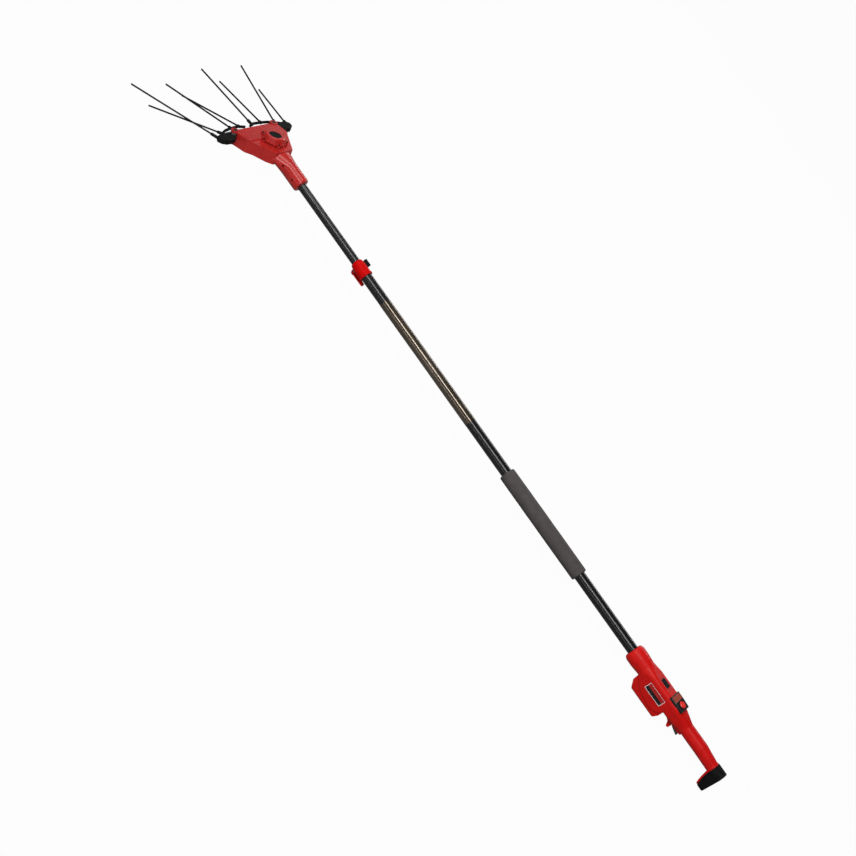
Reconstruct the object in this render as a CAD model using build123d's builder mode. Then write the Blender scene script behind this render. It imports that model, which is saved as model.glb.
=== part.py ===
"""Electric olive shaker: twin comb head on a telescopic pole with a trigger handle.

The pole runs along X, from the foot of the handle at X = 0 to the combs.
Z is the side of the head cover and the rocker switch, Y is the left hand side.
The head is built in its own plane, which drops nose down at the elbow.
"""
import os
from math import cos, sin, radians

from build123d import *

os.makedirs("parts", exist_ok=True)

C = Align.CENTER
LO = Align.MIN
HI = Align.MAX
running = 0.08

# Handle: foot, grip, body, throat and collar follow each other along the pole
foot_t = 33.0
foot_drop = 18.0
foot_r = 19.5
foot_z = -57.5
flange_t = 5.0
root_r = 16.6
root_z = -10.6
grip_r = 19.2
grip_z = -6.3
grip_x0 = 88.0
grip_x1 = 150.0
body_x0 = 205.0
body_x1 = 300.0
body_y = 24.5
body_top = 23.0
body_bot = -24.0
body_edge = 11.0
throat_x = 330.0
throat_r = 25.0
collar_x1 = 385.0
collar_r = 27.0
shell = 3.0
cheek_y = body_y - 0.5
pod_x0 = 216.0
pod_x1 = 326.0
pod_y = 21.0
pod_z = -64.0
spigot_r = root_r - 3.5
spigot_wall = 2.5
screw_r = 1.6

# Handle fittings
trig_x = 177.0
trig_z = -20.0
trig_half = 6.9
slot_half_y = trig_half + 0.5
bezel_x0 = 190.0
bezel_len = 47.0
bezel_top = 26.5
bezel_lo = 14.0
bezel_rear_y = 18.5
bezel_y = 21.5
switch_x = bezel_x0 + 14.5
switch_z = 19.0
rocker_half = 10.3
rocker_gap = 1.4
rocker_y = 16.0
lens_r = 9.6
window_x0 = 258.5
window_len = 26.5
window_y = 8.7
panel_rim = 3.0
label_x0 = 234.8
label_len = 59.5
label_z0 = -19.7
label_h = 25.0
label_t = 0.6
board_z = body_top - 11.0
board_t = 1.6
lead_r = 2.2
inlet_z = -48.0
inlet_r = 4.0
socket_r = 8.0
socket_len = 19.0
inlet_depth = 14.0

# Pole
tube_r = 15.0
tube_wall = 1.5
tube_seat = 79.0
tube_len = 1292.0
bush_wall = 1.5
bush_len = 40.0
rod_r = tube_r - tube_wall - bush_wall
rod_wall = 1.3
rod_lap = 578.0
rod_len = 936.0
tube_x0 = collar_x1 - tube_seat
tube_x1 = tube_x0 + tube_len
rod_x0 = tube_x1 - rod_lap
rod_x1 = rod_x0 + rod_len
foam_gap = 231.0
foam_len = 320.0
foam_r = 22.0
foam_x0 = collar_x1 + foam_gap
clamp_seat = 29.0
clamp_x0 = tube_x1 - clamp_seat
film_gap = 85.0
film_len = 387.0
film_t = 0.3
film_x0 = clamp_x0 - film_gap - film_len

# Clamp at the end of the lower tube
clamp_x1 = tube_x1 + 18.0
clamp_r = tube_r + 3.0
clamp_roll = 217.0
bolt_r = 3.0
bolt_x = tube_x1 + 5.0
bolt_q = clamp_r + bolt_r
ear_half = 11.0
lever_w = ear_half + 8.0
lever_half = 7.5
lever_len = 42.0
pin_r = 2.5
eye_r = 4.2
eye_reach = 8.0
nut_y0 = ear_half + 7.0
nut_t = 10.0

# Head frame: the elbow on the pole axis and the nose down angle
neck_grip = 87.0
neck_len = 56.0
neck_r = 22.5
neck_x = rod_x1 - neck_grip
elbow_x = rod_x1 + 22.0
bend = 21.0
neck_screws = ((neck_x + 23.5, 2.0), (neck_x + 67.5, 6.0))
neck_seat = 17.5
neck_head_r = 3.3

# Head case, in head coordinates (forward, left, up)
front_a = 104.0
half_w = 90.0
plate_h = 25.0
ledge = 1.2
step_a = 45.0
rear_a = -16.0
rear_w = 34.0
case_wall = 3.0
boss_r = 11.0
pivot_a = front_a - 5.5
pivot_b = half_w - 9.0
pivot_r = 4.0
slot_lo = 4.6
slot_hi = 21.4
comb_h = (slot_lo + slot_hi) / 2

# Motor cover
cover_a = 28.7
cover_r = 33.0
cover_lo = plate_h + 1.0
cover_hi = cover_lo + 15.0
cap_r = 17.5
cap_sink = 1.2
lug_count = 5
lug_start = 9.0
lug_pcr = cover_r + 3.0
lug_r = 4.4
lug_h = 3.4
rib_count = 22
rib_t = 3.2
rib_deep = 4.0
motor_r = 21.5

# Drive train
module = 1.0
pinion_teeth = 15
gear_teeth = 52
gear_a = cover_a + module * (pinion_teeth + gear_teeth) / 2
gear_lo = -5.2
gear_t = 5.0
axle_r = 4.0
crank_r = 3.2
throw = 6.2
roller_r = 5.5
yoke_lo = 1.6
yoke_hi = 8.8
tail_a = gear_a + 22.8
tail_b = 30.0
tail_pin_r = 3.5
arm_half = 3.2
tongue = (16.0, 25.0, 11.0)

# Tines: socket mouth ahead of and outside the pivot, splay, tilt, free length and sleeve length
tine_r = 2.3
sleeve_r = 4.2
tine_root = 3.0
left_tines = [
    (21.8, 67.9, 23.0, 8.0, 241.0, 26.0),
    (23.4, 39.7, 14.0, -8.0, 207.0, 22.0),
    (34.7, -18.4, 10.0, 4.0, 212.0, 9.0),
    (32.5, -52.6, -3.0, -8.0, 212.0, 9.0),
]
right_tines = [
    (47.1, -50.5, 10.0, 6.5, 228.0, 22.0),
    (32.1, -17.7, 19.0, -2.0, 228.0, 9.0),
    (26.2, 34.9, 21.0, 10.0, 231.0, 22.0),
    (12.5, 66.4, 32.0, -6.0, 224.0, 18.0),
]
comb_t = 15.0
strip_t = 5.5
strip_half = 2.8

nose = radians(bend)
fw = (cos(nose), 0, -sin(nose))
head = Plane(origin=(elbow_x, 0, 0), x_dir=fw, z_dir=(sin(nose), 0, cos(nose)))
head_side = Plane(origin=(elbow_x, 0, 0), x_dir=fw, z_dir=(0, -1, 0))


def save(builder, name):
    builder.part.label = name
    export_step(builder.part, "parts/" + name + ".step")


def across(x):
    return Plane(origin=(x, 0, 0), x_dir=(0, 1, 0), z_dir=(1, 0, 0))


def on_head(*points):
    return Locations(*[head.location * Location(p) for p in points])


def lug_points(h):
    step = 360 / lug_count
    return [(cover_a + lug_pcr * cos(radians(lug_start + step * i)),
             lug_pcr * sin(radians(lug_start + step * i)), h) for i in range(lug_count)]


# Lower tube and the pieces on it
with BuildPart() as outer_tube:
    with BuildSketch(across(tube_x0)):
        Circle(tube_r)
        Circle(tube_r - tube_wall, mode=Mode.SUBTRACT)
    extrude(amount=tube_len)
save(outer_tube, "outer_tube")

with BuildPart() as foam_grip:
    with BuildSketch(across(foam_x0)):
        Circle(foam_r)
        Circle(tube_r, mode=Mode.SUBTRACT)
    extrude(amount=foam_len)
    ends = foam_grip.edges().filter_by(GeomType.CIRCLE).filter_by(lambda e: e.radius > tube_r + 1)
    chamfer(ends, 2.0)
save(foam_grip, "foam_grip")

with BuildPart() as tube_band:
    with BuildSketch(across(film_x0)):
        Circle(tube_r + film_t)
        Circle(tube_r, mode=Mode.SUBTRACT)
    extrude(amount=film_len)
save(tube_band, "tube_band")

# Upper tube with its slide bush and lead
with BuildPart() as inner_tube:
    with BuildSketch(across(rod_x0)):
        Circle(rod_r)
        Circle(rod_r - rod_wall, mode=Mode.SUBTRACT)
    extrude(amount=rod_len)
    with Locations(*[(sx, rod_r, sz) for sx, sz in neck_screws]):
        Cylinder(screw_r, 8, rotation=(90, 0, 0), mode=Mode.SUBTRACT)
save(inner_tube, "inner_tube")

with BuildPart() as slide_bush:
    with BuildSketch(across(rod_x0)):
        Circle(tube_r - tube_wall - running)
        Circle(rod_r, mode=Mode.SUBTRACT)
    extrude(amount=bush_len)
    with BuildSketch(across(rod_x0 - bush_wall)):
        Circle(tube_r - tube_wall - running)
        Circle(rod_r - rod_wall - bush_wall, mode=Mode.SUBTRACT)
    extrude(amount=bush_wall)
save(slide_bush, "slide_bush")

upper_lead_r = 3.0
lead_end = 5.0
with BuildPart() as upper_lead:
    with BuildSketch(across(rod_x0 + lead_end)):
        with Locations((0, -(rod_r - rod_wall - upper_lead_r))):
            Circle(upper_lead_r)
    extrude(amount=rod_len - lead_end - 1)
save(upper_lead, "upper_lead")

# Clamp in a frame rolled about the pole: local x along the pole, y along the bolt, z out to the ears.
# The lever end of the bolt is at negative y, the thumb nut at positive y.
roll = radians(clamp_roll)
out_dir = (0, cos(roll), sin(roll))
clamp = Plane(origin=(0, 0, 0), x_dir=(1, 0, 0), z_dir=out_dir)


def on_clamp(*points):
    return Locations(*[clamp.location * Location(p) for p in points])


with BuildPart() as clamp_collar:
    with BuildSketch(Plane.XZ):
        with BuildLine():
            Polyline((clamp_x0, tube_r), (clamp_x0, clamp_r + 1.2), (clamp_x0 + 5, clamp_r + 1.2),
                     (clamp_x0 + 7, clamp_r), (clamp_x1 - 16, clamp_r), (clamp_x1 - 4, rod_r + 4.6),
                     (clamp_x1, rod_r + 2.4), (clamp_x1, rod_r + running), (tube_x1, rod_r + running),
                     (tube_x1, tube_r), close=True)
        make_face()
    revolve(axis=Axis.X)
    with on_clamp((bolt_x, 0, tube_r / 2)):
        Box(20, 2 * ear_half, bolt_q + 8.5 - tube_r / 2, align=(C, C, LO))
    ear_rims = clamp_collar.edges().filter_by(lambda e: abs(e.length - 2 * ear_half) < 0.5)
    chamfer(ear_rims.sort_by(Axis((0, 0, 0), out_dir))[-2:], 4.5)
    with on_clamp((bolt_x, 0, tube_r - 3)):
        Box(90, 2.4, 30, align=(C, C, LO), mode=Mode.SUBTRACT)
    with on_clamp((bolt_x, 0, bolt_q)):
        Cylinder(bolt_r, 3 * ear_half, rotation=(90, 0, 0), mode=Mode.SUBTRACT)
    with BuildSketch(across(clamp_x0)):
        Circle(tube_r)
    extrude(amount=tube_x1 - clamp_x0, mode=Mode.SUBTRACT)
    with BuildSketch(across(tube_x1 - 1)):
        Circle(rod_r + running)
    extrude(amount=40, mode=Mode.SUBTRACT)
save(clamp_collar, "clamp_collar")

bolt_end = nut_y0 + nut_t - 0.5
with BuildPart() as clamp_bolt:
    with on_clamp((bolt_x, bolt_end, bolt_q)):
        Cylinder(bolt_r, bolt_end + lever_w, rotation=(90, 0, 0), align=(C, C, LO))
    with on_clamp((bolt_x, eye_r + 1 - lever_w, bolt_q)):
        Cylinder(eye_r, eye_r + 1 + eye_reach, rotation=(90, 0, 0), align=(C, C, LO))
    with on_clamp((bolt_x, -lever_w, bolt_q)):
        Cylinder(pin_r, 24, mode=Mode.SUBTRACT)
save(clamp_bolt, "clamp_bolt")

with BuildPart() as clamp_pin:
    with on_clamp((bolt_x, -lever_w, bolt_q)):
        Cylinder(pin_r, 2 * lever_half)
save(clamp_pin, "clamp_pin")

with BuildPart() as clamp_lever:
    with BuildSketch(Plane(origin=clamp.from_local_coords(Vector(bolt_x, -lever_w, bolt_q - lever_half)),
                           x_dir=(1, 0, 0), z_dir=out_dir)):
        Circle(6.8)
        with BuildLine():
            Polyline((0, 3.5), (5, -4.5), (0, -6.5), (4 - lever_len, -6.5), (-lever_len, -4.5),
                     (-lever_len, 1.5), (2 - lever_len, 3.5), close=True)
        make_face()
    extrude(amount=2 * lever_half)
    with on_clamp((bolt_x, -lever_w, bolt_q)):
        Box(2 * eye_reach + 5, 20, 2 * eye_r + 1.4, mode=Mode.SUBTRACT)
        Cylinder(pin_r + running, 40, mode=Mode.SUBTRACT)
save(clamp_lever, "clamp_lever")

with BuildPart() as thumb_nut:
    with on_clamp((bolt_x, nut_y0, bolt_q)):
        Box(20, nut_t, 15, align=(C, LO, C))
    chamfer(thumb_nut.edges().filter_by(lambda e: abs(e.length - nut_t) < 0.1), 3.0)
    with on_clamp((bolt_x, ear_half + 0.4, bolt_q)):
        Cylinder(6.0, nut_y0 - ear_half, rotation=(-90, 0, 0), align=(C, C, LO))
    with on_clamp((bolt_x, 0, bolt_q)):
        Cylinder(bolt_r + running, 90, rotation=(90, 0, 0), mode=Mode.SUBTRACT)
save(thumb_nut, "thumb_nut")

# Head case, outside form
front_w = half_w - 16
with BuildPart() as head_form:
    with BuildSketch(head_side):
        with BuildLine():
            Polyline((front_a, -10), (front_a, plate_h - 4), (front_a - 2.5, plate_h - ledge),
                     (front_a - 9, plate_h - ledge), (front_a - 10, plate_h), (step_a, plate_h + 0.6),
                     (step_a - 2, plate_h - 2.4), (rear_a, plate_h - 9), (rear_a, -18.5), (0, -18),
                     (30, -12), close=True)
        make_face()
    extrude(amount=110, both=True)
    with BuildSketch(head) as plan:
        with BuildLine():
            Polyline((front_a, -front_w), (front_a, front_w), (front_a - 6, half_w - 2),
                     (step_a + 4, half_w - 8), (rear_a, rear_w), (rear_a, -rear_w),
                     (step_a + 4, 8 - half_w), (front_a - 6, 2 - half_w), close=True)
        make_face()
        fillet([v for v in plan.vertices() if abs(v.X - step_a - 4) < 0.5], 12)
    extrude(amount=60, both=True, mode=Mode.INTERSECT)
    with BuildSketch(Plane(origin=(neck_x + neck_len, 0, 0), x_dir=(0, 0, 1), z_dir=(1, 0, 0))):
        Circle(neck_r)
    with BuildSketch(Plane(origin=head.from_local_coords(Vector(-6, 0, -1)), x_dir=head.z_dir, z_dir=fw)):
        Ellipse(neck_r - 5, rear_w + 5)
    loft()
    with BuildSketch(Plane.XZ):
        with BuildLine():
            Polyline((neck_x, 0), (neck_x, neck_r - 4.5), (neck_x + 1.5, neck_r - 1.5), (neck_x + 5, neck_r),
                     (neck_x + neck_len, neck_r), (neck_x + neck_len, 0), close=True)
        make_face()
    revolve(axis=Axis.X)

# The lower case is the tray under the parting plane, ahead of the neck
with BuildPart() as tray_region:
    with on_head((rear_a + 4, 0, 0)):
        Box(2 * front_a + 50, 4 * half_w, 2 * half_w, align=(LO, C, HI))

with BuildPart() as head_hollow:
    with BuildSketch(head_side):
        with BuildLine():
            Polyline((front_a - case_wall, case_wall - 10), (front_a - case_wall, plate_h - case_wall),
                     (step_a + 1, plate_h - case_wall), (step_a - 2.5, plate_h - 2.4 - case_wall),
                     (rear_a + 5, plate_h - 9 - case_wall), (rear_a + 5, case_wall - 18.5),
                     (0, case_wall - 18), (30, case_wall - 12), close=True)
        make_face()
    extrude(amount=110, both=True)
    with BuildSketch(head):
        with BuildLine():
            Polyline((front_a - case_wall, 1 - front_w), (front_a - case_wall, front_w - 1),
                     (front_a - 8, half_w - 2 - case_wall), (step_a + 3, half_w - 8 - case_wall),
                     (rear_a + 5, rear_w - case_wall), (rear_a + 5, case_wall - rear_w),
                     (step_a + 3, 8 + case_wall - half_w), (front_a - 8, 2 + case_wall - half_w), close=True)
        make_face()
    extrude(amount=60, both=True, mode=Mode.INTERSECT)

yoke_half = 20.0
guide_t = 4.0
guide_b = yoke_half + 0.4 + guide_t / 2
case_deep = 8.0
motor_gap = 0.5
seat_lo = plate_h - 12.0
seat_r = cover_r - rib_deep - 1.0
rib_r = cover_r - 0.4


def rib_plane(angle):
    spoke = head.x_dir * cos(radians(angle)) + head.y_dir * sin(radians(angle))
    return Plane(origin=head.from_local_coords(Vector(cover_a, 0, 0)), x_dir=spoke,
                 z_dir=spoke.cross(head.z_dir))


with BuildPart() as head_upper_case:
    add(head_form.part)
    add(tray_region.part, mode=Mode.SUBTRACT)
    with on_head((cover_a, 0, 6)):
        Cylinder(cover_r - rib_deep, cover_lo - 6, align=(C, C, LO))
    with BuildSketch(*[rib_plane(360 / rib_count * k) for k in range(rib_count)]):
        Polygon((seat_r, seat_lo), (rib_r, seat_lo), (rib_r, cover_lo), (seat_r, cover_lo), align=None)
    extrude(amount=rib_t / 2, both=True)
    add(head_hollow.part, mode=Mode.SUBTRACT)
    with on_head((pivot_a, pivot_b, 0), (pivot_a, -pivot_b, 0)):
        Cylinder(boss_r, plate_h + 2, align=(C, C, LO))
    with on_head(*lug_points(12)):
        Cylinder(lug_r, cover_lo - 12, align=(C, C, LO))
    with on_head((gear_a - 10, guide_b, yoke_lo - 0.6), (gear_a - 10, -guide_b, yoke_lo - 0.6)):
        Box(19, guide_t, plate_h - 1 - yoke_lo, align=(LO, C, LO))
    with on_head((cover_a + cover_r + 1, 0, plate_h - 1.5)):
        Box(14, 2.4, 3.0, align=(LO, C, LO))
    for s in (1, -1):
        with on_head((pivot_a, s * pivot_b, slot_lo)):
            Cylinder(boss_r + 2.2, slot_hi - slot_lo, align=(C, C, LO), mode=Mode.SUBTRACT)
            Box(2 * boss_r + 6, 30, slot_hi - slot_lo, align=(C, LO if s > 0 else HI, LO), mode=Mode.SUBTRACT)
        with on_head((pivot_a, s * pivot_b, -case_deep)):
            Cylinder(pivot_r, plate_h + 25, align=(C, C, LO), mode=Mode.SUBTRACT)
        with on_head((pivot_a, s * pivot_b, plate_h - 0.6)):
            Cylinder(6.5, 10, align=(C, C, LO), mode=Mode.SUBTRACT)
    with on_head((cover_a, 0, 5)):
        Cylinder(motor_r + motor_gap, cover_lo + 5, align=(C, C, LO), mode=Mode.SUBTRACT)
    with on_head((cover_a, 0, cover_lo - 3)):
        Cylinder(motor_r + 5 + motor_gap, 10, align=(C, C, LO), mode=Mode.SUBTRACT)
    with on_head(*lug_points(14)):
        Cylinder(screw_r, 30, align=(C, C, LO), mode=Mode.SUBTRACT)
    with BuildSketch(across(neck_x - 5)):
        Circle(rod_r)
    extrude(amount=neck_grip + 5, mode=Mode.SUBTRACT)
    with BuildSketch(across(neck_x - 5)):
        Circle(rod_r - rod_wall)
    extrude(amount=elbow_x - neck_x + 22, mode=Mode.SUBTRACT)
    for sx, sz in neck_screws:
        with Locations((sx, rod_r - 4, sz)):
            Cylinder(screw_r, 30, rotation=(-90, 0, 0), align=(C, C, LO), mode=Mode.SUBTRACT)
        with Locations((sx, neck_seat, sz)):
            Cylinder(neck_head_r + 0.3, 30, rotation=(-90, 0, 0), align=(C, C, LO), mode=Mode.SUBTRACT)
save(head_upper_case, "head_upper_case")

with BuildPart() as head_lower_case:
    add(head_form.part)
    add(tray_region.part, mode=Mode.INTERSECT)
    add(head_hollow.part, mode=Mode.SUBTRACT)
    with on_head((pivot_a, pivot_b, -case_deep - 3), (pivot_a, -pivot_b, -case_deep - 3)):
        Cylinder(boss_r, case_deep + 3, align=(C, C, LO))
    with on_head((gear_a, 0, -11.5)):
        Cylinder(axle_r + 3, gear_lo - 0.6 + 11.5, align=(C, C, LO))
    with on_head((pivot_a, pivot_b, -case_deep), (pivot_a, -pivot_b, -case_deep)):
        Cylinder(pivot_r, 30, align=(C, C, LO), mode=Mode.SUBTRACT)
    with on_head((gear_a, 0, -9)):
        Cylinder(axle_r, 20, align=(C, C, LO), mode=Mode.SUBTRACT)
save(head_lower_case, "head_lower_case")

# Screws that pin the upper tube in the neck
for i, (sx, sz) in enumerate(neck_screws):
    with BuildPart() as neck_screw:
        with Locations((sx, rod_r - 3, sz)):
            Cylinder(screw_r, neck_seat - rod_r + 3, rotation=(-90, 0, 0), align=(C, C, LO))
        with Locations((sx, neck_seat, sz)):
            Cylinder(neck_head_r, 2.2, rotation=(-90, 0, 0), align=(C, C, LO))
        with Locations((sx, neck_seat + 2.5, sz)):
            Box(4.2, 2.4, 0.9, mode=Mode.SUBTRACT)
            Box(0.9, 2.4, 4.2, mode=Mode.SUBTRACT)
    save(neck_screw, "neck_screw_" + str(i + 1))

# Motor cover: a dome with flared ribs and screw lugs, and its black cap
cover_axis = Axis(head.from_local_coords(Vector(cover_a, 0, 0)), head.z_dir)
crown_r = cap_r + 9.5
with BuildPart() as motor_cover:
    with BuildSketch(head_side):
        with BuildLine():
            Polyline(*[(cover_a + r, h) for r, h in (
                (crown_r, cover_lo), (cover_r, cover_lo), (cover_r, cover_lo + 1.2),
                (crown_r + 3.2, cover_lo + 1.8), (crown_r + 0.4, cover_hi - 1.0),
                (crown_r - 2.5, cover_hi + 0.2), (cap_r + 0.2, cover_hi + 0.2),
                (cap_r + 0.2, cover_hi - cap_sink), (0, cover_hi - cap_sink),
                (0, cover_hi - cap_sink - 2.4), (motor_r + 1, cover_hi - cap_sink - 2.4))], close=True)
        make_face()
    revolve(axis=cover_axis)
    with BuildSketch(*[rib_plane(360 / rib_count * k) for k in range(rib_count)]):
        Polygon((crown_r + 1.5, cover_lo + 0.8), (rib_r, cover_lo + 0.8), (rib_r, cover_lo + 3.0),
                (crown_r + 2.0, cover_hi - 2.0), (crown_r - 0.6, cover_hi - 2.0), align=None)
    extrude(amount=rib_t / 2, both=True)
    with on_head(*lug_points(cover_lo)):
        Cylinder(lug_r, lug_h, align=(C, C, LO))
    with on_head(*lug_points(cover_lo - 2)):
        Cylinder(screw_r, 30, align=(C, C, LO), mode=Mode.SUBTRACT)
save(motor_cover, "motor_cover")

with BuildPart() as motor_cap:
    with on_head((cover_a, 0, cover_hi - cap_sink)):
        Cylinder(cap_r, cap_sink, align=(C, C, LO))
save(motor_cap, "motor_cap")

for i, spot in enumerate(lug_points(0)):
    with BuildPart() as cover_screw:
        with on_head((spot[0], spot[1], 15.5)):
            Cylinder(screw_r, cover_lo + lug_h - 15.5, align=(C, C, LO))
        with on_head((spot[0], spot[1], cover_lo + lug_h)):
            Cylinder(2 * screw_r - 0.4, 1.6, align=(C, C, LO))
        with on_head((spot[0], spot[1], cover_lo + lug_h + 1.6)):
            Box(3.4, 0.8, 1.4, mode=Mode.SUBTRACT)
            Box(0.8, 3.4, 1.4, mode=Mode.SUBTRACT)
    save(cover_screw, "cover_screw_" + str(i + 1))

# Motor
motor_lo = 11.5
motor_h = cover_hi - 5.0 - motor_lo
shaft_r = 2.5
with BuildPart() as motor_can:
    with on_head((cover_a, 0, motor_lo)):
        Cylinder(motor_r, motor_h, align=(C, C, LO))
    with on_head((cover_a, 0, cover_lo - 3)):
        Cylinder(motor_r + 5, 2.6, align=(C, C, LO))
    with on_head((cover_a, 0, motor_lo + 2)):
        Cylinder(motor_r - 2, motor_h - 4, align=(C, C, LO), mode=Mode.SUBTRACT)
    with on_head((cover_a, 0, motor_lo - 3)):
        Cylinder(shaft_r + running, 20, align=(C, C, LO), mode=Mode.SUBTRACT)
save(motor_can, "motor_can")


def gear_outline(teeth, phase):
    pitch_r = module * teeth / 2
    root, tip = pitch_r - 1.25 * module, pitch_r + 0.9 * module
    points = []
    for k in range(teeth):
        mid = phase + 360 / teeth * k
        for rad, half in ((root, 1.12), (tip, 0.36), (tip, -0.36), (root, -1.12)):
            ang = radians(mid) - half * module / rad
            points.append((rad * cos(ang), rad * sin(ang)))
    return points


with BuildPart() as motor_rotor:
    with on_head((cover_a, 0, gear_lo - 0.4)):
        Cylinder(shaft_r, motor_lo + motor_h - 3 - gear_lo, align=(C, C, LO))
    with on_head((cover_a, 0, motor_lo + 3.5)):
        Cylinder(motor_r - 6.5, motor_h - 8.5, align=(C, C, LO))
    with BuildSketch(Plane(origin=head.from_local_coords(Vector(cover_a, 0, gear_lo)), x_dir=fw,
                           z_dir=head.z_dir)):
        with BuildLine():
            Polyline(*gear_outline(pinion_teeth, 180 / pinion_teeth), close=True)
        make_face()
    extrude(amount=gear_t)
save(motor_rotor, "motor_rotor")

with BuildPart() as crank_axle:
    with on_head((gear_a, 0, -9)):
        Cylinder(axle_r, 9 + gear_lo + gear_t + 0.5, align=(C, C, LO))
save(crank_axle, "crank_axle")

with BuildPart() as crank_gear:
    with BuildSketch(Plane(origin=head.from_local_coords(Vector(gear_a, 0, gear_lo)), x_dir=fw,
                           z_dir=head.z_dir)):
        with BuildLine():
            Polyline(*gear_outline(gear_teeth, 0), close=True)
        make_face()
        Circle(axle_r + running, mode=Mode.SUBTRACT)
    extrude(amount=gear_t)
    with on_head((gear_a, throw, gear_lo + gear_t - 1)):
        Cylinder(crank_r, yoke_hi + 0.2 - gear_lo - gear_t + 1, align=(C, C, LO))
    with on_head((gear_a, 0, gear_lo - 1)):
        Cylinder(axle_r + running, gear_t + 1.7, align=(C, C, LO), mode=Mode.SUBTRACT)
save(crank_gear, "crank_gear")

with BuildPart() as crank_roller:
    with on_head((gear_a, throw, yoke_lo - 0.3)):
        Cylinder(roller_r, yoke_hi - yoke_lo + 0.2, align=(C, C, LO))
        Cylinder(crank_r, 30, mode=Mode.SUBTRACT)
save(crank_roller, "crank_roller")

slot_half = roller_r + 0.95
with BuildPart() as yoke:
    with BuildSketch(head.offset(yoke_lo)):
        with Locations((gear_a, 0)):
            Rectangle(2 * slot_half + 10, 2 * yoke_half)
        with Locations(((gear_a + tail_a) / 2, 0)):
            Rectangle(tail_a - gear_a, yoke_half)
        with Locations((tail_a, 0)):
            Rectangle(13, 2 * tail_b + 14)
        with Locations((gear_a, 0)):
            SlotOverall(2 * (throw + roller_r + 1.0), 2 * slot_half, rotation=90, mode=Mode.SUBTRACT)
        with Locations((tail_a, tail_b), (tail_a, -tail_b)):
            SlotOverall(2 * (tail_pin_r + 2.8), 2 * (tail_pin_r + 0.35), rotation=90, mode=Mode.SUBTRACT)
    extrude(amount=yoke_hi - yoke_lo)
save(yoke, "yoke")


# Rocker arms, combs and tines
def strip(points, half):
    for (x0, y0), (x1, y1) in zip(points, points[1:]):
        run = ((x1 - x0) ** 2 + (y1 - y0) ** 2) ** 0.5
        nx, ny = -(y1 - y0) / run * half, (x1 - x0) / run * half
        Polygon((x0 + nx, y0 + ny), (x1 + nx, y1 + ny), (x1 - nx, y1 - ny), (x0 - nx, y0 - ny),
                align=None)
    with Locations(*points):
        Circle(half)


def tine_plane(spec, s):
    yaw, tilt = radians(s * spec[2]), radians(spec[3])
    aim = head.x_dir * (cos(tilt) * cos(yaw)) + head.y_dir * (cos(tilt) * sin(yaw)) + head.z_dir * sin(tilt)
    mouth = head.from_local_coords(Vector(pivot_a + spec[0], s * (pivot_b + spec[1]), comb_h))
    return Plane(origin=mouth, z_dir=aim)


# Comb block and its front strip, ahead of and outside the pivot
block = [(-20.5, 12.6), (6.5, 12.6), (7.5, 48), (2.5, 63), (-6.5, 69), (-18.5, 64), (-25.5, 51), (-25.5, 27)]
bow = [(1.5, 49), (9.5, 42), (23, 8), (27, -18), (28.5, -48), (22, -69)]
sides = (("left", 1, left_tines, 1), ("right", -1, right_tines, 5))
for side, s, tines, first in sides:
    outward = LO if s > 0 else HI
    with BuildPart() as pivot_pin:
        with on_head((pivot_a, s * pivot_b, -case_deep)):
            Cylinder(pivot_r, plate_h + case_deep - 0.6, align=(C, C, LO))
        with on_head((pivot_a, s * pivot_b, plate_h - 0.6)):
            Cylinder(6.3, 2.4, align=(C, C, LO))
        with on_head((pivot_a, s * pivot_b, plate_h + 2)):
            Box(8, 1.2, 2.2, mode=Mode.SUBTRACT)
            Box(1.2, 8, 2.2, mode=Mode.SUBTRACT)
    save(pivot_pin, side + "_pivot_screw")

    with BuildPart() as rocker:
        with on_head((pivot_a, s * pivot_b, slot_lo + 0.5)):
            Cylinder(boss_r - 1, slot_hi - slot_lo - 1.0, align=(C, C, LO))
        with on_head((pivot_a, s * pivot_b, comb_h)):
            Box(*tongue, align=(C, outward, C))
        with BuildSketch(head.offset(yoke_hi + 1.2)):
            strip([(pivot_a, s * pivot_b), (tail_a, s * tail_b)], arm_half)
            with Locations((tail_a, s * tail_b)):
                Circle(tail_pin_r + 3)
        extrude(amount=6)
        with on_head((tail_a, s * tail_b, yoke_lo + 0.6)):
            Cylinder(tail_pin_r, yoke_hi + 2.2 - yoke_lo, align=(C, C, LO))
        with on_head((pivot_a, s * pivot_b, comb_h)):
            Cylinder(pivot_r + running, 60, mode=Mode.SUBTRACT)
    save(rocker, side + "_rocker")

    with BuildPart() as comb:
        with BuildSketch(head.offset(comb_h - 1 - comb_t / 2)):
            with BuildLine():
                Polyline(*[(pivot_a + fore, s * (pivot_b + out)) for fore, out in block], close=True)
            make_face()
        extrude(amount=comb_t)
        rims = comb.edges().filter_by(lambda e: e.length > 9).group_by(Axis(head.origin, head.z_dir))
        chamfer(rims[-1], 2.5)
        with BuildSketch(head.offset(comb_h - strip_t / 2)):
            strip([(pivot_a + fore, s * (pivot_b + out)) for fore, out in bow], strip_half)
        extrude(amount=strip_t)
        for spec in tines:
            with Locations(tine_plane(spec, s).location):
                Cylinder(sleeve_r, spec[5], align=(C, C, HI))
        with on_head((pivot_a, s * pivot_b, comb_h)):
            Box(*tongue, align=(C, outward, C), mode=Mode.SUBTRACT)
        for spec in tines:
            with Locations(tine_plane(spec, s).location):
                with Locations((0, 0, tine_root - spec[5])):
                    Cylinder(tine_r, spec[5] + 3, align=(C, C, LO), mode=Mode.SUBTRACT)
    save(comb, side + "_comb")

    for k, spec in enumerate(tines):
        with BuildPart() as tine:
            with Locations(tine_plane(spec, s).location):
                with Locations((0, 0, tine_root - spec[5])):
                    Cylinder(tine_r, spec[4] + spec[5] - tine_root, align=(C, C, LO))
            chamfer(tine.edges().sort_by_distance(head.origin)[-1], 1.0)
        save(tine, "tine_" + str(first + k))


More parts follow.
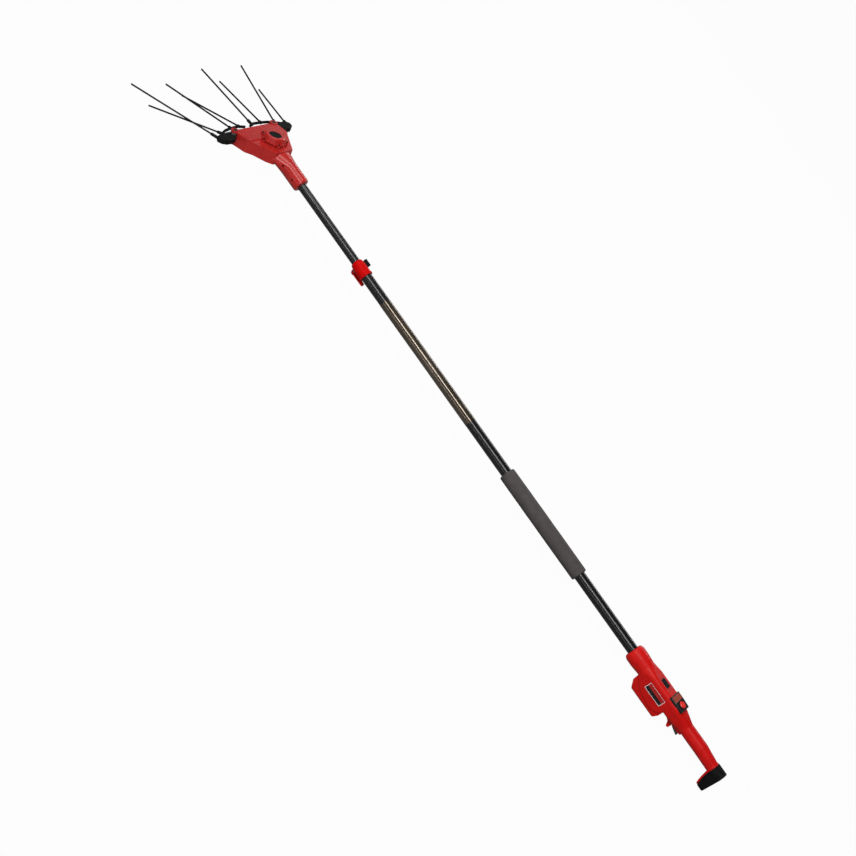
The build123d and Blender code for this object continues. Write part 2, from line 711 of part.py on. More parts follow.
# Handle, outside form: sections end to end from the foot flange to the collar
def grip_section():
    with Locations((0, grip_z)):
        RectangleRounded(2 * grip_r, 2 * grip_r, grip_r - 0.05)


def body_section(inset):
    with Locations((0, (body_top + body_bot) / 2)):
        RectangleRounded(2 * (body_y - inset), body_top - body_bot - 2 * inset, body_edge - inset)


def foot_section(radius):
    with Locations((0, (root_z + foot_z) / 2)):
        SlotCenterToCenter(root_z - foot_z, 2 * radius, rotation=90)


foot_end = (foot_t - foot_drop, foot_z - foot_r - 1)
foot_high = root_z + foot_r + 1
with BuildPart() as foot_flange:
    with BuildSketch(Plane.XZ):
        with BuildLine():
            Line((foot_t, foot_high), (foot_t, 0))
            TangentArc((foot_t, 0), foot_end, tangent=(0, -1))
            Line(foot_end, (foot_end[0] + flange_t, foot_end[1]))
            TangentArc((foot_t + flange_t, 0), (foot_end[0] + flange_t, foot_end[1]), tangent=(0, -1))
            Line((foot_t + flange_t, 0), (foot_t + flange_t, foot_high))
            Line((foot_t + flange_t, foot_high), (foot_t, foot_high))
        make_face()
    extrude(amount=2 * foot_r, both=True)
    with BuildSketch(across(0)):
        foot_section(foot_r - 1.5)
    extrude(amount=2 * foot_t, mode=Mode.INTERSECT)

lug_x = trig_x + 0.6
with BuildPart() as handle_form:
    with BuildSketch(across(foot_t)):
        with Locations((0, root_z)):
            Circle(root_r)
    with BuildSketch(across(grip_x0)):
        with Locations((0, grip_z)):
            Circle(grip_r)
    loft()
    with BuildSketch(across(grip_x0)):
        with Locations((0, grip_z)):
            Circle(grip_r)
    extrude(amount=grip_x1 - grip_x0)
    with BuildSketch(across(grip_x1)):
        grip_section()
    with BuildSketch(across(body_x0)):
        body_section(0)
    loft()
    with BuildSketch(across(body_x0)):
        body_section(0)
    extrude(amount=body_x1 - body_x0)
    with BuildSketch(across(body_x1)):
        body_section(0)
    with BuildSketch(across(throat_x)):
        RectangleRounded(2 * throat_r, 2 * throat_r, throat_r - 0.05)
    loft()
    with BuildSketch(Plane.XY):
        with BuildLine():
            Polyline((throat_x, 0), (throat_x, throat_r), (throat_x + 25, collar_r),
                     (collar_x1 - 10, collar_r), (collar_x1 - 3, collar_r - 2.5),
                     (collar_x1, collar_r - 6), (collar_x1, 0), close=True)
        make_face()
    revolve(axis=Axis.X)
    add(foot_flange.part)
    # trigger housing and the finger hook ahead of it
    with BuildSketch(Plane.XZ):
        Polygon((trig_x - 31, trig_z + 2), (trig_x - 31, trig_z - 6), (trig_x - 28.5, trig_z - 8),
                (trig_x + 9, trig_z - 8), (body_x0 + 3, body_bot), (body_x0 + 3, trig_z + 2), align=None)
    extrude(amount=11.5, both=True)
    with BuildSketch(Plane.XZ):
        Polygon((lug_x, trig_z), (lug_x, trig_z - 25.5), (lug_x + 5, trig_z - 27.5), (lug_x + 8, trig_z - 25),
                (lug_x + 14, trig_z - 14), (lug_x + 21, trig_z - 10.5), (lug_x + 32, trig_z - 8),
                (lug_x + 32, trig_z), align=None)
    extrude(amount=8.8, both=True)

# Cheeks under the body sides, and the pod below them
with BuildPart() as cheek:
    with BuildSketch(Plane.XZ):
        with BuildLine():
            Polyline((pod_x0 + 2, -25), (pod_x0 + 2, 0), (pod_x1 + 1, 0), (pod_x1 + 1, -14))
            ThreePointArc((pod_x1 + 1, -14), (pod_x1 - 33, -36), (pod_x1 - 63, -43))
            ThreePointArc((pod_x1 - 63, -43), (pod_x0 + 18, -40), (pod_x0 + 2, -25))
        make_face()
    extrude(amount=cheek_y, both=True)

with BuildPart() as pod:
    with BuildSketch(Plane.XZ) as keel:
        with BuildLine():
            Polyline((pod_x0, 0), (pod_x0, -40), (pod_x0 + 8, pod_z), (pod_x1 - 20, pod_z), (pod_x1, -36),
                     (pod_x1, 0), close=True)
        make_face()
        fillet([v for v in keel.vertices() if v.Y < pod_z + 1], 12)
    extrude(amount=2 * pod_y, both=True)
    with BuildSketch(across(pod_x0 - 10)):
        with Locations((0, pod_z / 2 + 15)):
            RectangleRounded(2 * pod_y, 30 - pod_z, 12)
    extrude(amount=pod_x1 - pod_x0 + 20, mode=Mode.INTERSECT)

stop_x = tube_x0 - 4
with BuildPart() as pod_hollow:
    with BuildSketch(Plane.XZ):
        Polygon((pod_x0 + shell, -8), (pod_x0 + shell, -40), (pod_x0 + 14, pod_z + shell),
                (pod_x1 - 25, pod_z + shell), (pod_x1 - shell - 1, -37), (pod_x1 - shell - 1, -tube_r - 6),
                (stop_x, -tube_r - 6), (stop_x, -8), align=None)
    extrude(amount=2 * pod_y, both=True)
    with BuildSketch(across(pod_x0 - 10)):
        with Locations((0, pod_z / 2 + 15)):
            RectangleRounded(2 * (pod_y - shell), 30 - pod_z - 2 * shell, 12 - shell)
    extrude(amount=pod_x1 - pod_x0 + 20, mode=Mode.INTERSECT)


def bezel_plan():
    Polygon((bezel_x0, -bezel_rear_y), (bezel_x0 + 25, -bezel_y), (bezel_x0 + bezel_len, -bezel_y),
            (bezel_x0 + bezel_len, bezel_y), (bezel_x0 + 25, bezel_y), (bezel_x0, bezel_rear_y), align=None)


panel_len = window_len + 8 * panel_rim
panel_w = 2 * (window_y + panel_rim)
well_y = bezel_y - 4.0
slot_x0 = trig_x - 26.8
micro_x = trig_x - 23
micro_z = trig_z + 5
spring_x = trig_x - 6
rest_z = trig_z + 14
screw_spots = [(pod_x0 + 20, -48), (pod_x1 - 32, pod_z + 10)]
for side, s, face in (("left", 1, LO), ("right", -1, HI)):
    with BuildPart() as handle_half:
        add(handle_form.part)
        add(cheek.part)
        add(pod.part)
        with BuildSketch(across(body_x0 + shell)):
            body_section(shell)
        extrude(amount=stop_x - body_x0 - shell, mode=Mode.SUBTRACT)
        add(pod_hollow.part, mode=Mode.SUBTRACT)
        with BuildSketch(across(0)):
            with Locations((0, root_z)):
                Circle(spigot_r)
        extrude(amount=grip_x0 + 2, mode=Mode.SUBTRACT)
        with BuildSketch(across(grip_x0)):
            with Locations((0, grip_z)):
                Circle(grip_r - shell - 0.5)
        extrude(amount=body_x0 + 5 - grip_x0, mode=Mode.SUBTRACT)
        with BuildSketch(across(tube_x0)):
            Circle(tube_r)
        extrude(amount=tube_seat + 40, mode=Mode.SUBTRACT)
        with BuildSketch(across(stop_x - 6)):
            Circle(tube_r - tube_wall - 2.5)
        extrude(amount=20, mode=Mode.SUBTRACT)
        # trigger pocket and slot
        with Locations((trig_x - 30, 0, trig_z - 6)):
            Box(39, 2 * slot_half_y, 24, align=(LO, C, LO), mode=Mode.SUBTRACT)
        with Locations((slot_x0, 0, trig_z - 40)):
            Box(lug_x - slot_x0, 2 * slot_half_y, 44, align=(LO, C, LO), mode=Mode.SUBTRACT)
        # switch seat and well, display panel and window, label recess
        with BuildSketch(Plane.XY.offset(bezel_lo)):
            bezel_plan()
        extrude(amount=30, mode=Mode.SUBTRACT)
        with Locations((bezel_x0 + 1.5, 0, 4)):
            Box(bezel_len - 3, 2 * well_y, 12, align=(LO, C, LO), mode=Mode.SUBTRACT)
        with Locations((window_x0 + window_len / 2, 0, body_top - label_t)):
            Box(panel_len, panel_w, 10, align=(C, C, LO), mode=Mode.SUBTRACT)
        with Locations((window_x0, 0, board_z)):
            Box(window_len, 2 * window_y, 40, align=(LO, C, LO), mode=Mode.SUBTRACT)
        with Locations((label_x0, cheek_y - label_t + 0.1, label_z0)):
            Box(label_len, 10, label_h, align=(LO, LO, LO), mode=Mode.SUBTRACT)
        # ribs for the trigger switch, spring seat, board rests and screw posts
        with Locations((micro_x, 9.6, micro_z), (micro_x, -9.6, micro_z)):
            Box(11, 9.2, 7, align=(LO, C, LO))
        with Locations((spring_x, 0, rest_z)):
            Box(7, 2 * grip_r - 4, 1.4, align=(C, C, LO))
        with Locations(*[(rx, ry, board_z - 6) for rx in (body_x1 - 50, body_x1 - 12)
                         for ry in (body_y - 4.5, 4.5 - body_y)]):
            Box(4, 6, 6, align=(LO, C, LO))
        with Locations(*[(px, 0, pz) for px, pz in screw_spots]):
            Cylinder(4.6, 2 * pod_y - 4, rotation=(90, 0, 0))
        for px, pz in screw_spots:
            with Locations((px, pod_y - 11, pz)):
                Cylinder(screw_r, 60, rotation=(90, 0, 0), align=(C, C, LO), mode=Mode.SUBTRACT)
            with Locations((px, 6 - pod_y, pz)):
                Cylinder(3.6, 30, rotation=(90, 0, 0), align=(C, C, LO), mode=Mode.SUBTRACT)
        with Locations((trig_x, 0, trig_z)):
            Cylinder(screw_r, 28, rotation=(90, 0, 0), mode=Mode.SUBTRACT)
        with Locations((collar_x1 / 2, 0, 0)):
            Box(2 * collar_x1, collar_x1, collar_x1, align=(C, face, C), mode=Mode.INTERSECT)
    save(handle_half, "handle_" + side)

for i, (px, pz) in enumerate(screw_spots):
    with BuildPart() as handle_screw:
        with Locations((px, pod_y - 11, pz)):
            Cylinder(screw_r, 2 * pod_y - 17, rotation=(90, 0, 0), align=(C, C, LO))
        with Locations((px, 6 - pod_y, pz)):
            Cylinder(3.4, 3, rotation=(90, 0, 0), align=(C, C, LO))
        with Locations((px, 3 - pod_y, pz)):
            Box(4.4, 2.4, 0.9, mode=Mode.SUBTRACT)
            Box(0.9, 2.4, 4.4, mode=Mode.SUBTRACT)
    save(handle_screw, "handle_screw_" + str(i + 1))

# Foot and supply inlet
floor_t = 8.0
with BuildPart() as end_cap:
    with BuildSketch(across(0)):
        foot_section(foot_r)
    extrude(amount=foot_t)
    chamfer(end_cap.edges().group_by(Axis.X)[0], 1.5)
    with BuildSketch(Plane.XZ):
        with BuildLine():
            Line((foot_t, foot_high), (foot_t, 0))
            TangentArc((foot_t, 0), foot_end, tangent=(0, -1))
            Polyline(foot_end, (-1, foot_end[1]), (-1, foot_high), (foot_t, foot_high))
        make_face()
    extrude(amount=2 * foot_r, both=True, mode=Mode.INTERSECT)
    with BuildSketch(across(floor_t)):
        foot_section(foot_r - shell)
    extrude(amount=foot_t, mode=Mode.SUBTRACT)
    with BuildSketch(across(floor_t - 3)):
        with Locations((0, root_z)):
            Circle(spigot_r)
            Circle(spigot_r - spigot_wall, mode=Mode.SUBTRACT)
    extrude(amount=foot_t + flange_t + 5 - floor_t + 3)
    with Locations((0, 0, inlet_z)):
        Cylinder(socket_r, 60, rotation=(0, 90, 0), mode=Mode.SUBTRACT)
save(end_cap, "end_cap")

with BuildPart() as inlet_socket:
    with Locations((0, 0, inlet_z)):
        Cylinder(socket_r, socket_len, rotation=(0, 90, 0), align=(C, C, LO))
        Cylinder(inlet_r, inlet_depth, rotation=(0, 90, 0), align=(C, C, LO), mode=Mode.SUBTRACT)
save(inlet_socket, "inlet_socket")

# Board, display and label
board_x0 = body_x1 - 60
with BuildPart() as control_board:
    with Locations((board_x0, 0, board_z)):
        Box(60, 2 * (body_y - shell - 1.5), board_t, align=(LO, C, LO))
    with Locations((window_x0 - 1, 0, board_z + board_t)):
        Box(window_len + 2, 2 * window_y, body_top - 3.4 - board_z - board_t, align=(LO, C, LO))
    with Locations((board_x0, 0, board_z)):
        Box(11, 14, 16, align=(LO, C, HI))
    with Locations((board_x0 + 24, 9, board_z), (board_x0 + 36, 9, board_z), (board_x0 + 30, -9, board_z)):
        Cylinder(4, 13, align=(C, C, HI))
save(control_board, "control_board")

with BuildPart() as display_window:
    with Locations((window_x0 + window_len / 2, 0, body_top - label_t)):
        Box(panel_len, panel_w, label_t, align=(C, C, LO))
    with Locations((window_x0, 0, body_top - 3)):
        Box(window_len, 2 * window_y, 3, align=(LO, C, LO))
save(display_window, "display_window")

with BuildPart() as name_plate:
    with Locations((label_x0, cheek_y - label_t + 0.1, label_z0)):
        Box(label_len, label_t, label_h, align=(LO, LO, LO))
save(name_plate, "name_plate")

lead_x0 = floor_t + 10
with BuildPart() as supply_lead:
    with BuildSketch(across(lead_x0)):
        with Locations((0, root_z + spigot_r - spigot_wall - lead_r)):
            Circle(lead_r)
    extrude(amount=board_x0 - lead_x0)
save(supply_lead, "supply_lead")

# Rocker switch
pin_hole = screw_r - 0.1
with BuildPart() as switch_bezel:
    with BuildSketch(Plane.XY.offset(bezel_lo)):
        bezel_plan()
    extrude(amount=bezel_top - bezel_lo)
    chamfer(switch_bezel.edges().group_by(Axis.Z)[-1], 1.2)
    with Locations((bezel_x0 + 2.5, 0, bezel_lo - 4)):
        Box(bezel_len - 5, 2 * well_y - 1, 4, align=(LO, C, LO))
    with Locations((switch_x, 0, bezel_lo - 2)):
        Box(2 * (rocker_half + rocker_gap), 2 * rocker_y + 1, 30, align=(C, C, LO), mode=Mode.SUBTRACT)
    with Locations((switch_x + rocker_half + rocker_gap + 1.2, 0, bezel_top - 0.5)):
        Box(17, 2 * bezel_y - 5, 4, align=(LO, C, LO), mode=Mode.SUBTRACT)
    with Locations((switch_x, 0, switch_z)):
        Cylinder(pin_hole + running, 2 * rocker_y + 5, rotation=(90, 0, 0), mode=Mode.SUBTRACT)
    with Locations(*[(switch_x + tx, ty, bezel_lo - 4) for tx in (-5, 5) for ty in (-8, 8)]):
        Box(0.8, 4.8, 6, align=(C, C, HI))
save(switch_bezel, "switch_bezel")

with BuildPart() as switch_rocker:
    with BuildSketch(Plane.XZ):
        Polygon((switch_x - rocker_half, bezel_top + 1.7), (switch_x, bezel_top + 0.4),
                (switch_x + rocker_half, bezel_top + 0.6), (switch_x + rocker_half, switch_z - 2.5),
                (switch_x + 5, switch_z - 4), (switch_x - 5, switch_z - 4),
                (switch_x - rocker_half, switch_z - 2.5), align=None)
    extrude(amount=rocker_y, both=True)
    with Locations((switch_x, 0, switch_z)):
        Cylinder(pin_hole, 2 * rocker_y + 4, rotation=(90, 0, 0))
    with Locations((switch_x, 0, bezel_top - 1.2)):
        Cylinder(lens_r, 20, align=(C, C, LO), mode=Mode.SUBTRACT)
save(switch_rocker, "switch_rocker")

with BuildPart() as switch_lens:
    with Locations((switch_x, 0, bezel_top - 1.2)):
        Cylinder(lens_r, 3.8, align=(C, C, LO))
    chamfer(switch_lens.edges().group_by(Axis.Z)[-1], 1.2)
save(switch_lens, "switch_lens")

# Trigger, its pin, spring and switch
with BuildPart() as trigger:
    with BuildSketch(Plane.XZ):
        Polygon((trig_x + 5, trig_z + 4), (trig_x + 5, trig_z - 3), (trig_x, trig_z - 5.5),
                (trig_x - 0.6, trig_z - 13.5), (trig_x - 25, trig_z - 21), (trig_x - 27, trig_z - 19),
                (trig_x - 24.5, trig_z - 11), (trig_x - 24.5, trig_z - 2), (trig_x - 20, trig_z + 0.6),
                (trig_x - 17, trig_z + 0.6), (trig_x - 12, trig_z + 2), (trig_x - 9.5, trig_z + 4),
                align=None)
    extrude(amount=trig_half, both=True)
    with Locations((trig_x, 0, trig_z)):
        Cylinder(screw_r + running, 40, rotation=(90, 0, 0), mode=Mode.SUBTRACT)
save(trigger, "trigger")

with BuildPart() as trigger_pin:
    with Locations((trig_x, 0, trig_z)):
        Cylinder(screw_r, 28, rotation=(90, 0, 0))
save(trigger_pin, "trigger_pin")

wire = 0.9
coil_r = 2.4
coil_h = rest_z - trig_z - 4 - 1.3 * wire
with BuildPart() as trigger_spring:
    with BuildLine() as coil:
        Helix(pitch=coil_h / 3.5, height=coil_h, radius=coil_r,
              center=(spring_x, 0, trig_z + 4 + 0.65 * wire))
    with BuildSketch(Plane(origin=coil.line @ 0, x_dir=(1, 0, 0), z_dir=coil.line % 0)):
        Rectangle(wire, wire)
    sweep(path=coil.line, is_frenet=True)
save(trigger_spring, "trigger_spring")

with BuildPart() as microswitch:
    with Locations((micro_x, 0, micro_z)):
        Box(11, 10, 8, align=(LO, C, LO))
    with Locations((micro_x + 4, 0, micro_z)):
        Cylinder(1.4, 1.6, align=(C, C, HI))
save(microswitch, "microswitch")
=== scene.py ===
import bpy
import bmesh
import math
from mathutils import Matrix, Vector, noise


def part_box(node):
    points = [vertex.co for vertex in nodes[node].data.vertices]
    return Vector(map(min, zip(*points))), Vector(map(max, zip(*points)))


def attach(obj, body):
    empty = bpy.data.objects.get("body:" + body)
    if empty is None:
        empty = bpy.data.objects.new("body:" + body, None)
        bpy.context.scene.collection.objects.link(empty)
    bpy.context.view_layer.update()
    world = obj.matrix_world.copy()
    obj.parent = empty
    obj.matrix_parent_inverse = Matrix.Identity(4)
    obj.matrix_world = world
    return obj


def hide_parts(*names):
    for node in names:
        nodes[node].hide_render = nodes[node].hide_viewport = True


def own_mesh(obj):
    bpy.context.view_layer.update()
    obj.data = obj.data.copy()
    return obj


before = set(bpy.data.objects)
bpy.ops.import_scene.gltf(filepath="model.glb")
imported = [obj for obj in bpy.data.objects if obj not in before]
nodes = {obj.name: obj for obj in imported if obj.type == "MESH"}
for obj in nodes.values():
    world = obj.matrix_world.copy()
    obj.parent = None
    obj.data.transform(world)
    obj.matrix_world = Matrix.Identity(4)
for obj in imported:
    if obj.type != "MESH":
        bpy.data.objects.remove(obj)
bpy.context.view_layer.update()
scene = bpy.context.scene
scene.view_settings.view_transform = "Standard"
print("loaded", len(nodes), "solids")


def addObject(name, data):
    item = bpy.data.objects.new(name, data)
    scene.collection.objects.link(item)
    return item


# picture: long lens, the tool lies across the frame from the foot to the tines
shot = {
    "place": (0.5907, 3.5377, 2.5532),
    "right": (-0.5741, -0.5506, 0.6061),
    "up": (0.8089, -0.2664, 0.5241),
    "focalPixels": 1700.0,
    "framePixels": 856.0,
    "sensor": 36.0,
    "clipEnd": 100.0,
}


def setCamera():
    data = bpy.data.cameras.new("camera")
    data.sensor_width = shot["sensor"]
    data.lens = shot["focalPixels"] / shot["framePixels"] * shot["sensor"]
    data.clip_end = shot["clipEnd"]
    camera = addObject("camera", data)
    right = Vector(shot["right"]).normalized()
    up = Vector(shot["up"])
    up = (up - right * up.dot(right)).normalized()
    turn = Matrix((right, up, right.cross(up))).transposed().to_4x4()
    camera.matrix_world = Matrix.Translation(shot["place"]) @ turn
    scene.camera = camera


setCamera()
print("camera set")


# small helpers for shader trees
def calc(tree, operation, a, b):
    node = tree.nodes.new("ShaderNodeMath")
    node.operation = operation
    for socket, value in zip(node.inputs, (a, b)):
        if isinstance(value, float):
            socket.default_value = value
        else:
            tree.links.new(value, socket)
    return node.outputs[0]


def newFinish(name):
    mat = bpy.data.materials.new(name)
    mat.use_nodes = True
    tree = mat.node_tree
    shader = tree.nodes["Principled BSDF"]
    spot = tree.nodes.new("ShaderNodeTexCoord")
    return mat, tree, shader, spot


def cloud(tree, spot, scale, detail=3.0, stretch=None):
    tex = tree.nodes.new("ShaderNodeTexNoise")
    tex.inputs["Scale"].default_value = scale
    tex.inputs["Detail"].default_value = detail
    source = spot.outputs["Object"]
    if stretch:
        mapping = tree.nodes.new("ShaderNodeMapping")
        mapping.inputs["Scale"].default_value = stretch
        tree.links.new(source, mapping.inputs["Vector"])
        source = mapping.outputs["Vector"]
    tree.links.new(source, tex.inputs["Vector"])
    return tex.outputs["Fac"]


# most of a noise texture's values lie between these two
noiseLow, noiseHigh = 0.3, 0.7


def ramp(tree, fac, low, high):
    band = tree.nodes.new("ShaderNodeValToRGB")
    for stop, place, colour in zip(band.color_ramp.elements, (noiseLow, noiseHigh), (low, high)):
        stop.position = place
        stop.color = (*colour, 1)
    tree.links.new(fac, band.inputs["Fac"])
    return band.outputs["Color"]


def span(tree, fac, low, high, start=noiseLow, end=noiseHigh):
    part = tree.nodes.new("ShaderNodeMapRange")
    part.inputs["From Min"].default_value = start
    part.inputs["From Max"].default_value = end
    part.inputs["To Min"].default_value = low
    part.inputs["To Max"].default_value = high
    tree.links.new(fac, part.inputs["Value"])
    return part.outputs["Result"]


def roughen(tree, shader, height, look):
    bump = tree.nodes.new("ShaderNodeBump")
    bump.inputs["Strength"].default_value = look["grain"]
    bump.inputs["Distance"].default_value = look["grainDepth"]
    tree.links.new(height, bump.inputs["Height"])
    tree.links.new(bump.outputs["Normal"], shader.inputs["Normal"])


def insideBox(tree, spot, limits):
    parts = tree.nodes.new("ShaderNodeSeparateXYZ")
    tree.links.new(spot.outputs["Object"], parts.inputs[0])
    inside = None
    for axis, (low, high) in limits.items():
        above = calc(tree, "GREATER_THAN", parts.outputs[axis], low)
        below = calc(tree, "LESS_THAN", parts.outputs[axis], high)
        band = calc(tree, "MULTIPLY", above, below)
        inside = calc(tree, "MULTIPLY", inside, band) if inside else band
    return inside


def layer(tree, fac, under, over):
    mix = tree.nodes.new("ShaderNodeMix")
    mix.data_type = "RGBA"
    tree.links.new(fac, mix.inputs["Factor"])
    for socket, value in (("A", under), ("B", over)):
        target = [s for s in mix.inputs if s.name == socket and s.type == "RGBA"][0]
        if isinstance(value, tuple):
            target.default_value = (*value, 1)
        else:
            tree.links.new(value, target)
    return [s for s in mix.outputs if s.type == "RGBA"][0]


# studio: pale floor under the tine tips and the foot, swept up into a low wall all round, and soft lamps
studio = {
    "floorTint": (0.30, 0.30, 0.30),
    "floorGlow": 0.97,
    "floorGap": 0.0006,
    "innerRadii": (0.5, 3.0),
    "flatRadius": 12.0,
    "sweepRadius": 3.0,
    "sweepSteps": 8,
    "wallHeight": 5.0,
    "sides": 72,
    "world": 0.08,
    "lamps": [  # place, aim, length along the pole, height, watts
        ((1.50, 1.45, 2.20), (1.50, 0.0, 0.0), 3.4, 0.30, 76.0),
        ((1.30, 2.90, 0.50), (1.30, 0.0, 0.0), 3.4, 0.18, 14.0),
        ((2.90, -0.20, 2.20), (2.0, 0.0, 0.0), 0.9, 0.9, 20.0),
        ((2.20, -3.00, 0.75), (2.20, 0.0, 0.0), 4.4, 0.9, 15.0),
        ((1.40, -2.85, 1.10), (1.40, 0.0, 0.0), 3.4, 0.30, 32.0),
    ],
}


def floorPaint():
    paint = bpy.data.materials.new("paleFloor")
    paint.use_nodes = True
    tree = paint.node_tree
    tree.nodes.clear()
    out = tree.nodes.new("ShaderNodeOutputMaterial")
    matt = tree.nodes.new("ShaderNodeBsdfDiffuse")
    matt.inputs["Color"].default_value = (*studio["floorTint"], 1)
    glow = tree.nodes.new("ShaderNodeEmission")
    glow.inputs["Color"].default_value = (1, 1, 1, 1)
    glow.inputs["Strength"].default_value = 1.0
    rays = tree.nodes.new("ShaderNodeLightPath")  # white to the camera, grey in the light it gives back
    seen = calc(tree, "MAXIMUM", rays.outputs["Is Camera Ray"], rays.outputs["Is Transmission Ray"])
    mix = tree.nodes.new("ShaderNodeMixShader")
    tree.links.new(calc(tree, "MULTIPLY", seen, studio["floorGlow"]), mix.inputs[0])
    tree.links.new(matt.outputs[0], mix.inputs[1])
    tree.links.new(glow.outputs[0], mix.inputs[2])
    tree.links.new(mix.outputs[0], out.inputs[0])
    return paint


def makeFloor():
    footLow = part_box("end_cap")[0]
    tipLow = min((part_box("tine_%d" % k)[0] for k in range(1, 9)), key=lambda c: c.z)
    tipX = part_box("tine_4")[1].x
    slope = (tipLow.z - footLow.z) / (tipX - footLow.x)
    flat, sweep, sides = studio["flatRadius"], studio["sweepRadius"], studio["sides"]
    profile = [(r, 0.0) for r in (*studio["innerRadii"], flat)]
    for k in range(1, studio["sweepSteps"] + 1):
        bend = k * math.pi / 2 / studio["sweepSteps"]
        profile.append((flat + sweep * math.sin(bend), sweep * (1 - math.cos(bend))))
    profile.append((flat + sweep, studio["wallHeight"]))
    middle = (footLow.x + tipX) / 2
    points = []
    for r, h in profile:
        for k in range(sides):
            turn = 2 * math.pi * k / sides
            x = middle + r * math.cos(turn)
            z = footLow.z - studio["floorGap"] + slope * (x - footLow.x) + h
            points.append((x, r * math.sin(turn), z))
    faces = [tuple(range(sides))]
    for ring in range(len(profile) - 1):
        for k in range(sides):
            a = ring * sides + k
            b = ring * sides + (k + 1) % sides
            faces.append((a, a + sides, b + sides, b))
    mesh = bpy.data.meshes.new("floor")
    mesh.from_pydata(points, [], faces)
    for face in mesh.polygons:
        face.use_smooth = True
    mesh.materials.append(floorPaint())
    floor = addObject("floor", mesh)


def makeLamps():
    world = bpy.data.worlds.new("studioWorld")
    scene.world = world
    world.use_nodes = True
    sky = world.node_tree.nodes["Background"]
    sky.inputs["Color"].default_value = (1, 1, 1, 1)
    sky.inputs["Strength"].default_value = studio["world"]
    for i, (place, aim, length, height, watts) in enumerate(studio["lamps"]):
        data = bpy.data.lights.new("lamp%d" % i, "AREA")
        data.shape = "RECTANGLE"
        data.size = length
        data.size_y = height
        data.energy = watts
        lamp = addObject("lamp%d" % i, data)
        lamp.location = place
        lamp.rotation_mode = "QUATERNION"
        lamp.rotation_quaternion = (Vector(aim) - Vector(place)).to_track_quat("-Z", "Y")


makeFloor()
makeLamps()
print("floor and lamps set")


